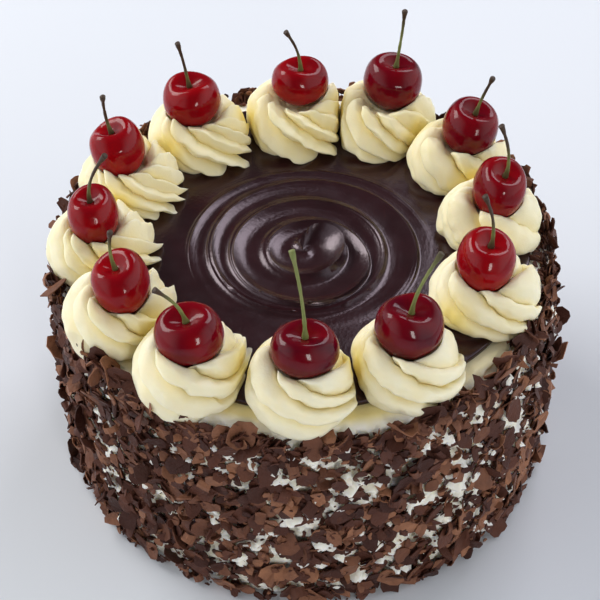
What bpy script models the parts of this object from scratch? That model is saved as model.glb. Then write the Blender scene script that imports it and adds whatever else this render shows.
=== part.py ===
"""Black forest cake, whole and without its plate.

A round cake coated in whipped cream stands on the plane z = 0, centred on the Z axis.
Chocolate shavings are pressed onto its side, a disc of ganache with a spooned swirl lies on its top,
and a ring of piped cream rosettes stands on the ganache, each with a fresh cherry and its stem.
Sizes are in metres. Bearings are in degrees, counter-clockwise from +X seen from above.
"""

import bmesh
import bpy
import numpy as np

# ---- Driving dimensions, in metres
GAP = 0.0003  # clearance between solids that touch on the real cake

CAKE_RADIUS = 0.098
CAKE_HEIGHT = 0.098
SHOULDER_RADIUS = 0.006  # rounding of the cream at the top edge

COAT_OUTER_RADIUS = 0.1045
COAT_ROUGHNESS = 0.0018  # how far single shavings stand in or out
COAT_LIFT = 0.004  # and how far up or down they lie out of line
COAT_TOP_RAGGEDNESS = 0.0014
COAT_TOP = 0.0992
COAT_FRONT_DIP = 0.0085  # the coat stops lower at the front, below a bare band of cream
COAT_DIP_BEARING = 268.0
COAT_DIP_WIDTH = 22.0

GANACHE_RADIUS = 0.0875
GANACHE_THICKNESS = 0.0020
GANACHE_WAVINESS = 0.0012
GANACHE_ROUNDING = 0.0008
SWIRL_CENTRE = (0.0, -0.007)
SWIRL_REACH = 0.054  # the swirl ends here, measured from its own centre
FULL_TROUGH_WIDTH = 0.004  # a narrower band between two crests is shallower
SWIRL_FADE = (0.043, 0.050)  # its relief dies out between these distances from the cake's axis

CHERRY_CENTRE_HEIGHT = 0.1219
STEM_RADIUS = 0.00065
STEM_LIFT = 0.0006  # the root's height over the bottom of the dimple
STEM_STRAIGHT = 0.35  # share of its length over which a stem follows the cherry's axis
STEM_THICKNESS = [(0.0, 1.5), (0.12, 1.05), (0.5, 0.9), (0.9, 1.1), (1.0, 1.8)]  # along it, as shares

GANACHE_BOTTOM = CAKE_HEIGHT + GAP
GANACHE_TOP = GANACHE_BOTTOM + GANACHE_THICKNESS
ROSETTE_BOTTOM = GANACHE_TOP + GAP

# Each rosette: bearing, distance from the axis, size factor, number of ridges, twist in degrees
ROSETTES = [
    (126.0, 0.0760, 1.00, 9, 62),
    (94.0, 0.0715, 0.98, 10, 60),
    (65.0, 0.0780, 1.02, 9, 72),
    (35.5, 0.0765, 1.00, 9, 66),
    (5.5, 0.0725, 0.99, 8, 60),
    (332.5, 0.0755, 1.01, 8, 84),
    (296.5, 0.0790, 0.98, 8, 96),
    (268.0, 0.0800, 0.99, 8, 100),
    (239.5, 0.0830, 1.02, 8, 98),
    (212.5, 0.0825, 1.02, 9, 86),
    (185.5, 0.0810, 1.00, 9, 64),
    (156.5, 0.0785, 1.00, 10, 60),
]

# Each cherry: bearing, distance from the axis, size across X, Y and Z, and lean towards +X and +Y in degrees
CHERRIES = [
    (126.9, 0.0797, (0.0242, 0.0244, 0.0236), (-6, -2)),
    (92.3, 0.0765, (0.0245, 0.0214, 0.0212), (2, -3)),
    (64.8, 0.0845, (0.0250, 0.0250, 0.0248), (8, 2)),
    (34.6, 0.0802, (0.0228, 0.0250, 0.0250), (12, -5)),
    (5.8, 0.0748, (0.0207, 0.0250, 0.0252), (12, -12)),
    (332.8, 0.0740, (0.0220, 0.0254, 0.0256), (9, -5)),
    (297.6, 0.0774, (0.0252, 0.0244, 0.0244), (3, -2)),
    (269.0, 0.0796, (0.0248, 0.0220, 0.0212), (1, -4)),
    (239.8, 0.0838, (0.0252, 0.0240, 0.0238), (-7, -4)),
    (213.8, 0.0822, (0.0217, 0.0252, 0.0254), (-12, -4)),
    (185.9, 0.0824, (0.0199, 0.0240, 0.0244), (-5, -4)),
    (157.0, 0.0824, (0.0219, 0.0250, 0.0252), (-16, 4)),
]

# Each stem's tip, measured from its root in the cherry's dimple
STEM_TIPS = [
    (-0.0030, -0.0040, 0.0220),
    (-0.0060, -0.0040, 0.0195),
    (0.0020, -0.0020, 0.0265),
    (0.0045, -0.0040, 0.0185),
    (-0.0045, -0.0030, 0.0250),
    (-0.0050, -0.0040, 0.0255),
    (0.0090, 0.0020, 0.0245),
    (-0.0045, 0.0060, 0.0335),
    (-0.0090, -0.0050, 0.0180),
    (0.0010, -0.0050, 0.0200),
    (0.0085, -0.0040, 0.0235),
    (-0.0005, -0.0050, 0.0190),
]

# The swirl's crest as a spiral: turns (clockwise from +X seen from above), distance from its centre, height
SWIRL_CREST = [
    (-0.50, 0.0000, 0.0006),
    (-0.30, 0.0065, 0.0030),
    (-0.20, 0.0125, 0.0048),
    (-0.08, 0.0146, 0.0052),
    (0.12, 0.0134, 0.0034),
    (0.25, 0.0140, 0.0020),
    (0.50, 0.0154, 0.0016),
    (0.75, 0.0175, 0.0016),
    (0.95, 0.0205, 0.0018),
    (1.06, 0.0255, 0.0020),
    (1.20, 0.0292, 0.0017),
    (1.50, 0.0290, 0.0016),
    (1.75, 0.0303, 0.0014),
    (2.00, 0.0298, 0.0015),
    (2.25, 0.0335, 0.0010),
    (2.50, 0.0375, 0.0012),
    (2.75, 0.0430, 0.0010),
    (3.00, 0.0428, 0.0012),
    (3.25, 0.0445, 0.0010),
    (3.50, 0.0466, 0.0010),
    (3.75, 0.0492, 0.0006),
    (4.00, 0.0506, 0.0005),
    (4.30, SWIRL_REACH, 0.0),
    (5.50, SWIRL_REACH, 0.0),
]
SWIRL_TURNS = 6  # whole turns of band, from one before the crest starts to one before the list ends

# A rosette's outline along a ridge and along the groove between two ridges: (radius, height) from its
# base edge over its outside to the middle of the dish that the cherry sits in
RIDGE_OUTLINE = [
    (0.0188, 0.0),
    (0.0208, 0.0022),
    (0.0214, 0.0052),
    (0.0197, 0.0095),
    (0.0163, 0.0136),
    (0.0126, 0.0165),
    (0.0090, 0.0160),
    (0.0050, 0.0112),
    (0.0, 0.0092),
]
GROOVE_OUTLINE = [
    (0.0168, 0.0),
    (0.0181, 0.0022),
    (0.0184, 0.0048),
    (0.0168, 0.0084),
    (0.0137, 0.0118),
    (0.0104, 0.0139),
    (0.0078, 0.0138),
    (0.0046, 0.0106),
    (0.0, 0.0092),
]
RIDGE_PEAK = 0.60  # where a ridge is highest between its two grooves, so it overlaps the next one
TWIST_BEARING = 215.0  # the ridges wind most on this side of every rosette and least opposite it
TWIST_LOPSIDE = 0.45
TWIST_END = 0.72  # the winding stops here along the outline, at the rim of the dish
SQUEEZE_START = 0.72  # a rosette flattens against its neighbour beyond this share of its room

DIMPLE_DEPTH = 0.30  # as a share of the cherry's half height
DIMPLE_WIDTH = 0.42  # in radians from the cherry's axis
CHERRY_TAPER = 0.12  # how much narrower a cherry is at its lower end
DISH_CLEARANCE = 0.0011  # the dish stays this far outside the cherry's full oval

# ---- Faceting of the solids
ROUND_SIDES = 44
COAT_SIDES = 54
SWIRL_SIDES = 24
SWIRL_STEPS = np.array([0.0, 0.34, 0.72, 1.0])  # from one crest to the next
RIDGE_STEPS = np.array([0.0, 0.34, 0.68])  # from one groove to the next
OUTLINE_STEPS = np.array([0.0, 0.20, 0.38, 0.55, 0.67, 0.78, 0.90, 1.0])  # from a rosette's base to its dish
CHERRY_SIDES = 12
CHERRY_STEPS = np.radians([158, 120, 84, 52, 27, 10])  # from near a cherry's lower end to its dimple
STEM_SIDES = 5
STEM_STEPS = np.array([0.0, 0.12, 0.40, 0.70, 0.92, 1.0])


# ---- Shared helpers
def smooth_curve(points, values):
    """Catmull-Rom curve through the points, read at each value from 0 (first point) to 1 (last point)."""
    points = np.asarray(points, float)
    padded = np.vstack([2 * points[0] - points[1], points, 2 * points[-1] - points[-2]])
    place = np.clip(np.asarray(values, float), 0, 1) * (len(points) - 1)
    start = np.minimum(place.astype(int), len(points) - 2)
    t = (place - start)[:, None]
    before, here, after, beyond = (padded[start + k] for k in range(4))
    return 0.5 * (
        2 * here
        + (after - before) * t
        + (2 * before - 5 * here + 4 * after - beyond) * t**2
        + (3 * here - before - 3 * after + beyond) * t**3
    )


def polar(bearing, distance):
    """A point on the plane, from its bearing in degrees and its distance from the axis."""
    angle = np.radians(bearing)
    return distance * np.cos(angle), distance * np.sin(angle)


def smooth_step(value, low, high):
    """0 below low, 1 above high, and an S-shaped rise between them."""
    t = np.clip((value - low) / (high - low), 0, 1)
    return t * t * (3 - 2 * t)


def make_material(name, colour, roughness):
    """A plain Principled material for one kind of food."""
    material = bpy.data.materials.new(name)
    material.use_nodes = True
    shader = material.node_tree.nodes["Principled BSDF"]
    shader.inputs["Base Color"].default_value = (*colour, 1.0)
    shader.inputs["Roughness"].default_value = roughness
    shader.inputs["Metallic"].default_value = 0.0
    return material


def make_solid(name, points, faces, material):
    """One named object from points and faces, with points that coincide welded together."""
    mesh = bpy.data.meshes.new(name)
    mesh.from_pydata(np.asarray(points).tolist(), [], np.asarray(faces).tolist())
    welder = bmesh.new()
    welder.from_mesh(mesh)
    bmesh.ops.remove_doubles(welder, verts=welder.verts, dist=1e-6)
    welder.to_mesh(mesh)
    welder.free()
    mesh.shade_smooth()
    mesh.set_sharp_from_angle(angle=np.radians(40))
    mesh.materials.append(material)
    solid = bpy.data.objects.new(name, mesh)
    bpy.context.scene.collection.objects.link(solid)
    return solid


def grid_faces(rows, columns):
    """Triangles of an open grid whose points are numbered row by row.

    Seen from the side they face, columns run to the right and rows run up.
    """
    corner = np.arange(rows * columns).reshape(rows, columns)
    a, b = corner[:-1, :-1].ravel(), corner[:-1, 1:].ravel()
    c, d = corner[1:, 1:].ravel(), corner[1:, :-1].ravel()
    return np.vstack([np.stack([a, b, c], -1), np.stack([a, c, d], -1)])


def ring_solid(name, rings, material):
    """A solid of rings that run from its bottom, up its outside, to its top.

    The points of a ring go counter-clockwise seen from above, and each end ring closes onto its middle.
    """
    bottom = np.broadcast_to(rings[0].mean(0), rings[0].shape)
    top = np.broadcast_to(rings[-1].mean(0), rings[-1].shape)
    grid = np.concatenate([[bottom], rings, [top]])
    grid = np.concatenate([grid, grid[:, :1]], axis=1)
    return make_solid(name, grid.reshape(-1, 3), grid_faces(*grid.shape[:2]), material)


def circle(radius, height, angle):
    """Points at the given angles round the Z axis; radius and height may vary from point to point."""
    return np.stack([radius * np.cos(angle), radius * np.sin(angle), height + 0 * angle], -1)


# ---- Cake and coat
def build_cake(material):
    """The cream-coated cake: a drum with a flat base and a rounded top edge."""
    angle = np.linspace(0, 2 * np.pi, ROUND_SIDES, endpoint=False)
    foot = 0.0015
    rings = [circle(CAKE_RADIUS - foot, 0.0, angle), circle(CAKE_RADIUS, foot, angle)]
    for turn in np.radians([0, 30, 60, 90]):
        radius = CAKE_RADIUS - SHOULDER_RADIUS * (1 - np.cos(turn))
        rings.append(circle(radius, CAKE_HEIGHT - SHOULDER_RADIUS * (1 - np.sin(turn)), angle))
    return ring_solid("cake", np.array(rings), material)


def build_coat(material):
    """The shavings as one uneven sleeve round the cake, as rough outside as the loose flakes make it."""
    uneven = np.random.default_rng(11)
    angle = np.linspace(0, 2 * np.pi, COAT_SIDES, endpoint=False)
    off_front = (np.degrees(angle) - COAT_DIP_BEARING + 180) % 360 - 180
    top = COAT_TOP - COAT_FRONT_DIP * np.exp(-((off_front / COAT_DIP_WIDTH) ** 2))
    inner = (CAKE_RADIUS + GAP) / np.cos(np.pi / COAT_SIDES)
    rings = [circle(inner, 0.0, angle)]
    for level in (0.0, 0.10, 0.28, 0.46, 0.64, 0.82, 0.95):
        radius = COAT_OUTER_RADIUS + uneven.uniform(-1, 1, COAT_SIDES) * COAT_ROUGHNESS
        lift = uneven.uniform(-1, 1, COAT_SIDES) * COAT_LIFT if 0 < level < 0.9 else 0.0
        rings.append(circle(radius, top * level + lift, angle))
    edge = uneven.uniform(-1, 0, COAT_SIDES) * COAT_TOP_RAGGEDNESS
    rings.append(circle(COAT_OUTER_RADIUS - 0.0025, top + edge, angle))
    rings.append(circle(inner, top - COAT_TOP_RAGGEDNESS, angle))
    rings.append(rings[0])
    grid = np.array(rings)
    grid = np.concatenate([grid, grid[:, :1]], axis=1)
    return make_solid("shavings_coat", grid.reshape(-1, 3), grid_faces(*grid.shape[:2]), material)


# ---- Ganache
def swirl_crest(turns):
    """Distance from the swirl's centre and height of its spiral crest, at each number of turns."""
    known = np.array(SWIRL_CREST)
    return np.interp(turns, known[:, 0], known[:, 1]), np.interp(turns, known[:, 0], known[:, 2])


def build_ganache(material):
    """The ganache disc: troughs between the turns of one spiral crest, then a flat border to a wavy edge.

    A band of surface winds outwards. Its inner edge is the crest, and its outer edge is the crest one
    turn later, so the band meets itself all the way round.
    """
    turns = SWIRL_CREST[0][0] - 1 + np.arange(SWIRL_TURNS * SWIRL_SIDES + 1) / SWIRL_SIDES
    inner_distance, inner_height = (values[:, None] for values in swirl_crest(turns))
    outer_distance, outer_height = (values[:, None] for values in swirl_crest(turns + 1))
    # the spoon left a steep drop outside each crest on the right, and a broad slope on the left
    deepest = 0.38 - 0.20 * np.cos(2 * np.pi * turns[:, None])
    fall = np.clip((deepest - SWIRL_STEPS) / deepest, 0, 1) ** 2 * inner_height
    rise = np.clip((SWIRL_STEPS - deepest) / (1 - deepest), 0, 1) ** 2 * outer_height
    width = outer_distance - inner_distance
    distance = inner_distance + SWIRL_STEPS * width
    level = inner_height + SWIRL_STEPS * (outer_height - inner_height)
    relief = level + np.clip(width / FULL_TROUGH_WIDTH, 0, 1) * (fall + rise - level)
    band = circle(distance, GANACHE_TOP, -2 * np.pi * turns[:, None] + 0 * distance)
    band += [*SWIRL_CENTRE, 0.0]
    fade = 1 - smooth_step(np.hypot(band[..., 0], band[..., 1]), *SWIRL_FADE)
    band[..., 2] += relief * fade
    band_faces = grid_faces(*band.shape[:2])[:, ::-1]

    angle = 2 * np.pi * np.arange(SWIRL_SIDES + 1) / SWIRL_SIDES
    wave = 0.6 * np.sin(3 * angle + 1.0) + 0.4 * np.sin(7 * angle + 0.4)
    edge = GANACHE_RADIUS + GANACHE_WAVINESS * wave
    bottom = circle(0.0, GANACHE_BOTTOM, angle)
    side = [circle(edge, GANACHE_BOTTOM, angle), circle(edge, GANACHE_TOP - GANACHE_ROUNDING, angle)]
    top_edge = circle(edge - GANACHE_ROUNDING, GANACHE_TOP, angle)
    swirl_end = circle(SWIRL_REACH, GANACHE_TOP, angle) + [*SWIRL_CENTRE, 0.0]
    border = np.array([bottom, *side, top_edge, swirl_end])
    border_faces = grid_faces(*border.shape[:2]) + band.shape[0] * band.shape[1]
    points = np.vstack([band.reshape(-1, 3), border.reshape(-1, 3)])
    return make_solid("ganache_top", points, np.vstack([band_faces, border_faces]), material)


# ---- Rosettes
def rosette_rings(ridges, twist):
    """Rings of a free-standing rosette of the given number of ridges, round its own axis.

    Each point lies between the groove's outline and the ridge's outline. Going outwards the whole star
    section turns counter-clockwise, most on one side, which lays the ridges round it as a swirl.
    """
    phase = np.tile(RIDGE_STEPS, ridges)
    rising = np.sin(np.pi / 2 * phase / RIDGE_PEAK)
    falling = np.cos(np.pi / 2 * (phase - RIDGE_PEAK) / (1 - RIDGE_PEAK))
    fullness = np.where(phase < RIDGE_PEAK, rising, falling)[None, :, None]
    ridge = smooth_curve(RIDGE_OUTLINE, OUTLINE_STEPS)[:, None]
    groove = smooth_curve(GROOVE_OUTLINE, OUTLINE_STEPS)[:, None]
    outline = groove + fullness * (ridge - groove)

    start = (np.repeat(np.arange(ridges), len(RIDGE_STEPS)) + phase) * 2 * np.pi / ridges
    middle = start + np.radians(twist) / 2 - np.radians(TWIST_BEARING)
    wound = np.radians(twist) * (1 + TWIST_LOPSIDE * np.cos(middle))
    share = np.clip(1 - OUTLINE_STEPS / TWIST_END, 0, 1)[:, None]
    return circle(outline[..., 0], outline[..., 1], start + share * wound)


def squeeze(points, centre, neighbour):
    """Flattens a rosette where it would pass the plane halfway to its neighbour."""
    towards = np.array([*neighbour, 0.0]) - [*centre, 0.0]
    room = np.linalg.norm(towards) / 2 - GAP / 2
    towards /= np.linalg.norm(towards)
    reach = (points - [*centre, 0.0]) @ towards
    start = SQUEEZE_START * room
    pressed = start + (room - start) * (1 - np.exp(-np.maximum(reach - start, 0) / (room - start)))
    return points + (np.where(reach > start, pressed, reach) - reach)[..., None] * towards


def push_out(points, cherry, clearance):
    """Moves points that are inside a cherry's full oval, grown by the clearance, out onto it."""
    centre, half_sizes, axes = cherry
    local = (points - centre) @ axes / (half_sizes + clearance)
    inside = np.minimum(np.linalg.norm(local, axis=-1, keepdims=True), 1.0)
    return centre + (local / inside * (half_sizes + clearance)) @ axes.T


def build_rosette(number, material):
    """One piped rosette, pressed flat against its neighbours and hollowed by its cherry."""
    centres = [polar(bearing, distance) for bearing, distance, *_ in ROSETTES]
    _, _, size, ridges, twist = ROSETTES[number]
    centre = centres[number]
    rings = rosette_rings(ridges, twist) * [size, size, 1.0] + [*centre, ROSETTE_BOTTOM]
    for neighbour in (centres[number - 1], centres[(number + 1) % len(centres)]):
        rings = squeeze(rings, centre, neighbour)
    rings = push_out(rings, cherry_place(number), DISH_CLEARANCE)
    return ring_solid(f"rosette_{number + 1:02d}", rings, material)


# ---- Cherries and stems
def cherry_place(number):
    """A cherry's centre, its half sizes, and its axes as the columns of a matrix."""
    bearing, distance, sizes, (lean_x, lean_y) = CHERRIES[number]
    centre = np.array([*polar(bearing, distance), CHERRY_CENTRE_HEIGHT])
    up = np.array([np.sin(np.radians(lean_x)), np.sin(np.radians(lean_y)), 0.0])
    up[2] = np.sqrt(1 - up @ up)
    right = np.array([1.0, 0.0, 0.0]) - up[0] * up
    right /= np.linalg.norm(right)
    axes = np.stack([right, np.cross(up, right), up], -1)
    return centre, np.array(sizes) / 2, axes


def cherry_profile(from_top):
    """A cherry's radius and height, as shares of its half sizes, at each angle from its stem end."""
    fullness = 1 - DIMPLE_DEPTH * np.exp(-((from_top / DIMPLE_WIDTH) ** 2))
    taper = 1 - CHERRY_TAPER * ((1 - np.cos(from_top)) / 2) ** 2
    return fullness * np.sin(from_top) * taper, fullness * np.cos(from_top)


def build_cherry(number, material):
    """One cherry: a turned heart-like shape with a dimple round its stem."""
    centre, half_sizes, axes = cherry_place(number)
    radius, height = (values[:, None] for values in cherry_profile(CHERRY_STEPS))
    angle = np.linspace(0, 2 * np.pi, CHERRY_SIDES, endpoint=False)
    rings = circle(radius, height, angle + 0 * radius) * half_sizes @ axes.T + centre
    return ring_solid(f"cherry_{number + 1:02d}", rings, material)


def build_stem(number, material):
    """One stem: a bent round stalk, wider where it meets the fruit and at its broken-off end."""
    centre, half_sizes, axes = cherry_place(number)
    up = axes[:, 2]
    root = centre + up * (half_sizes[2] * (1 - DIMPLE_DEPTH) + STEM_LIFT)
    reach = np.array(STEM_TIPS[number])
    bend = root + up * np.linalg.norm(reach) * STEM_STRAIGHT
    t = STEM_STEPS[:, None]
    path = (1 - t) ** 2 * root + 2 * t * (1 - t) * bend + t**2 * (root + reach)
    along = 2 * (1 - t) * (bend - root) + 2 * t * (root + reach - bend)
    along /= np.linalg.norm(along, axis=1, keepdims=True)
    side = np.cross([0.0, 1.0, 0.0], along)
    side /= np.linalg.norm(side, axis=1, keepdims=True)
    other_side = np.cross(along, side)
    radius = STEM_RADIUS * np.interp(STEM_STEPS, *zip(*STEM_THICKNESS))[:, None, None]
    angle = np.linspace(0, 2 * np.pi, STEM_SIDES, endpoint=False)[None, :, None]
    rings = path[:, None] + radius * (np.cos(angle) * side[:, None] + np.sin(angle) * other_side[:, None])
    return ring_solid(f"stem_{number + 1:02d}", rings, material)


def build_all():
    """Clears the scene and builds every piece of the cake."""
    for old in list(bpy.data.objects):
        bpy.data.objects.remove(old, do_unlink=True)
    cream = make_material("whipped_cream", (0.87, 0.80, 0.58), 0.45)
    shavings = make_material("chocolate_shavings", (0.060, 0.026, 0.017), 0.55)
    ganache = make_material("ganache", (0.022, 0.009, 0.010), 0.18)
    cherry = make_material("cherry_skin", (0.26, 0.003, 0.008), 0.12)
    stem = make_material("cherry_stem", (0.16, 0.17, 0.05), 0.55)
    build_cake(cream)
    build_coat(shavings)
    build_ganache(ganache)
    for number in range(len(ROSETTES)):
        build_rosette(number, cream)
        build_cherry(number, cherry)
        build_stem(number, stem)


build_all()
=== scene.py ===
# %% [markdown]
# # Black forest cake
#
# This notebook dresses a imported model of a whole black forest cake: a cake coated in whipped cream,
# dark shavings pressed onto its side, a disc of ganache with a spooned swirl, and twelve piped
# rosettes, each holding a fresh cherry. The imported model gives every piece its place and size.
# Here each piece gets a finer surface and a finish that looks good enough to eat.
#
# Everything is in metres, with +Z up, and bearings are in degrees, counter-clockwise from +X.

import bpy
import numpy as np
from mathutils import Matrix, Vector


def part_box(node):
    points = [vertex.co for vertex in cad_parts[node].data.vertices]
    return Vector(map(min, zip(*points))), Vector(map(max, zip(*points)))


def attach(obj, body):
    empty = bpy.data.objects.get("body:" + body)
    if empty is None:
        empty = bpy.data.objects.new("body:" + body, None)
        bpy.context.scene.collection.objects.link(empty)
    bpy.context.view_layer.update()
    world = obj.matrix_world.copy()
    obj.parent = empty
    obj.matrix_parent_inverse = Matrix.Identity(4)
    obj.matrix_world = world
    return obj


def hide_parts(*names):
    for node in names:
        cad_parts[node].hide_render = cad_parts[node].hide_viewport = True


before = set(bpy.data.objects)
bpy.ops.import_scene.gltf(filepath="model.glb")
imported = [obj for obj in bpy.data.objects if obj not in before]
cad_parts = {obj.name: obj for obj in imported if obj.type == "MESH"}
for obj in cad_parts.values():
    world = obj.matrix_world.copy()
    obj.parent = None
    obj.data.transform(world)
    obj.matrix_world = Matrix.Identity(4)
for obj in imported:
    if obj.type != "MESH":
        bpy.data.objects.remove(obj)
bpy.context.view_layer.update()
print("nodes in the frame:", len(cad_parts))

# %% [markdown]
# ## Measures taken from the frame
#
# The cake and the ganache are plain turned shapes, so their boxes say how large they are. Reading them
# here keeps this notebook in step with the model if the model is ever packed again at another size.

# %% Read the cake's and the ganache's sizes
MM = 0.001
cake_low, cake_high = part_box("cake")
ganache_low, ganache_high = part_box("ganache_top")
coat_low, coat_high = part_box("shavings_coat")
CAKE_RADIUS = (cake_high.x - cake_low.x) / 2
CAKE_TOP = cake_high.z
GANACHE_BOTTOM = ganache_low.z
ROSETTE_BOTTOM = min(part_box(f"rosette_{n:02d}")[0].z for n in range(1, 13))
GANACHE_TOP = ROSETTE_BOTTOM - 0.3 * MM
COAT_REACH = (coat_high.x - coat_low.x) / 2
print(f"cake {CAKE_RADIUS / MM:.1f} mm in radius, top at {CAKE_TOP / MM:.1f} mm")
print(f"ganache from {GANACHE_BOTTOM / MM:.1f} to {GANACHE_TOP / MM:.1f} mm, coat out to {COAT_REACH / MM:.1f} mm")

# %% [markdown]
# ## The camera
#
# The cake is seen from a little under 45 degrees above the table, from close by and through a long
# lens, so its far side is only slightly smaller than its near side. The camera could be turned by
# hand, but working out its place from an aim, a distance and an elevation keeps the numbers readable.

# %% Place the camera
VIEW_ELEVATION = 44.44
VIEW_DISTANCE = 0.6523
VIEW_AIM = np.array([-0.003, 0.0, 0.0675])
LENS = 95.45

elevation = np.radians(VIEW_ELEVATION)
camera_data = bpy.data.cameras.new("view")
camera_data.lens = LENS
camera = bpy.data.objects.new("view", camera_data)
camera.location = VIEW_AIM + VIEW_DISTANCE * np.array([0.0, -np.cos(elevation), np.sin(elevation)])
camera.rotation_euler = (np.pi / 2 - elevation, 0.0, 0.0)
bpy.context.scene.collection.objects.link(camera)
bpy.context.scene.camera = camera
print("camera at", [round(value, 3) for value in camera.location])

# %% [markdown]
# ## Curves, steps and noise
#
# A few small helpers shape everything below. `smooth_curve` rounds a short list of points, so an
# outline needs only as many points as its shape has. `waves` adds up plane waves that run in random
# directions. It gives the soft unevenness that food has, and it works on whole arrays at once.

# %% Shape helpers
def polar(bearing, distance):
    """A point on the plane, from its bearing in degrees and its distance from the axis."""
    angle = np.radians(bearing)
    return distance * np.cos(angle), distance * np.sin(angle)


def smooth_step(value, low, high):
    """0 below low, 1 above high, and the S-shaped rise 3t^2 - 2t^3 between them."""
    t = np.clip((value - low) / (high - low), 0, 1)
    return t * t * (3 - 2 * t)


def smooth_curve(points, values):
    """Catmull-Rom curve through the points, read at each value from 0 (first point) to 1 (last)."""
    points = np.asarray(points, float)
    padded = np.vstack([2 * points[0] - points[1], points, 2 * points[-1] - points[-2]])
    place = np.clip(np.asarray(values, float), 0, 1) * (len(points) - 1)
    start = np.minimum(place.astype(int), len(points) - 2)
    t = (place - start)[:, None]
    before, here, after, beyond = (padded[start + k] for k in range(4))
    return 0.5 * (
        2 * here
        + (after - before) * t
        + (2 * before - 5 * here + 4 * after - beyond) * t**2
        + (3 * here - before - 3 * after + beyond) * t**3
    )


def waves(points, length, seed, count=24):
    """Smooth noise of about unit size: a sum of plane waves of about the given length in metres."""
    uneven = np.random.default_rng(seed)
    directions = uneven.normal(size=(count, 3))
    directions /= np.linalg.norm(directions, axis=1, keepdims=True)
    lengths = length * uneven.uniform(0.6, 1.6, count)
    shifts = uneven.uniform(0, 2 * np.pi, count)
    total = np.zeros(points.shape[:-1])
    for direction, size, shift in zip(directions, lengths, shifts):
        total += np.sin(points @ direction * (2 * np.pi / size) + shift)
    return total * np.sqrt(2 / count)


def circle(radius, height, angle):
    """Points at the given angles round the Z axis; radius and height may vary from point to point."""
    return np.stack(np.broadcast_arrays(radius * np.cos(angle), radius * np.sin(angle), height), -1)


# %% [markdown]
# ## From arrays to pieces
#
# A grid of points becomes a mesh by numbering its points row by row and listing two triangles for each
# cell. Most pieces here are rings stacked from their underside to their top, so one helper closes the
# grid round and fans each end onto its middle. Values such as how much painted shade a point gets go
# along as attributes, which the materials read.

# %% Mesh helpers
def make_piece(name, points, faces, material, values=None, sharp=None):
    """One mesh object at the origin that rides on the cake, from arrays of points and triangles."""
    mesh = bpy.data.meshes.new(name)
    mesh.vertices.add(len(points))
    mesh.vertices.foreach_set("co", np.ascontiguousarray(points, np.float32).ravel())
    mesh.loops.add(faces.size)
    mesh.loops.foreach_set("vertex_index", np.ascontiguousarray(faces, np.int32).ravel())
    mesh.polygons.add(len(faces))
    mesh.polygons.foreach_set("loop_start", np.arange(len(faces), dtype=np.int32) * 3)
    mesh.update(calc_edges=True)
    mesh.shade_smooth()
    for key, numbers in (values or {}).items():
        attribute = mesh.attributes.new(key, "FLOAT", "POINT")
        attribute.data.foreach_set("value", np.ascontiguousarray(numbers, np.float32).ravel())
    if sharp is not None:
        mesh.set_sharp_from_angle(angle=np.radians(sharp))
    mesh.materials.append(material)
    piece = bpy.data.objects.new(name, mesh)
    bpy.context.scene.collection.objects.link(piece)
    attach(piece, "root")
    return piece


def ring_faces(rows, columns):
    """Triangles of stacked rings with a middle point before the first ring and one after the last."""
    ring = 1 + np.arange(rows * columns).reshape(rows, columns)
    following = np.roll(ring, -1, axis=1)
    a, b = ring[:-1].ravel(), following[:-1].ravel()
    d, c = ring[1:].ravel(), following[1:].ravel()
    sides = [np.stack([a, b, c], -1), np.stack([a, c, d], -1)]
    first, last = np.full(columns, 0), np.full(columns, rows * columns + 1)
    bottom = np.stack([first, following[0], ring[0]], -1)
    top = np.stack([last, ring[-1], following[-1]], -1)
    return np.vstack([*sides, bottom, top])


def with_middles(grid):
    """A grid of rings as one list, with the middle of its first ring in front and of its last behind."""
    flat = grid.reshape(-1, *grid.shape[2:])
    return np.concatenate([grid[0].mean(0, keepdims=True), flat, grid[-1].mean(0, keepdims=True)])


def make_rings(name, rings, material, values=None, sharp=None):
    """A closed piece of rings, bottom to top, each counter-clockwise seen from above."""
    values = {key: with_middles(numbers) for key, numbers in (values or {}).items()}
    faces = ring_faces(*rings.shape[:2])
    return make_piece(name, with_middles(rings), faces, material, values, sharp)


# %% [markdown]
# ## A node helper and a shared group
#
# A material is a small network of nodes. `add_node` makes one node and fills or links its sockets in a
# single readable call. Cream, ganache, shavings, cherries and stems all need soft patches of variation,
# so that effect is one node group, `mottle`, placed in each material with its own size and range.

# %% Node helpers
def add_node(tree, kind, inputs=None, **settings):
    """A new node with its settings, and with each named socket given a value or linked to a socket."""
    node = tree.nodes.new(kind)
    for key, value in settings.items():
        setattr(node, key, value)
    for key, value in (inputs or {}).items():
        if isinstance(value, bpy.types.NodeSocket):
            tree.links.new(value, node.inputs[key])
        else:
            node.inputs[key].default_value = value
    return node


def make_mottle_group():
    """Soft patches: a noise on Object coordinates, stretched from Low to High."""
    group = bpy.data.node_groups.new("mottle", "ShaderNodeTree")
    for name, default in (("Per Metre", 100.0), ("Detail", 3.0), ("Low", 0.0), ("High", 1.0)):
        socket = group.interface.new_socket(name, in_out="INPUT", socket_type="NodeSocketFloat")
        socket.default_value = default
    group.interface.new_socket("Value", in_out="OUTPUT", socket_type="NodeSocketFloat")
    given = group.nodes.new("NodeGroupInput").outputs
    place = add_node(group, "ShaderNodeTexCoord").outputs["Object"]
    noise_inputs = {"Vector": place, "Scale": given["Per Metre"], "Detail": given["Detail"]}
    noise = add_node(group, "ShaderNodeTexNoise", noise_inputs).outputs["Fac"]
    range_inputs = {"Value": noise, "From Min": 0.3, "From Max": 0.7, "To Min": given["Low"], "To Max": given["High"]}
    stretched = add_node(group, "ShaderNodeMapRange", range_inputs).outputs["Result"]
    add_node(group, "NodeGroupOutput", {"Value": stretched})
    return group


MOTTLE = make_mottle_group()


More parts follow.
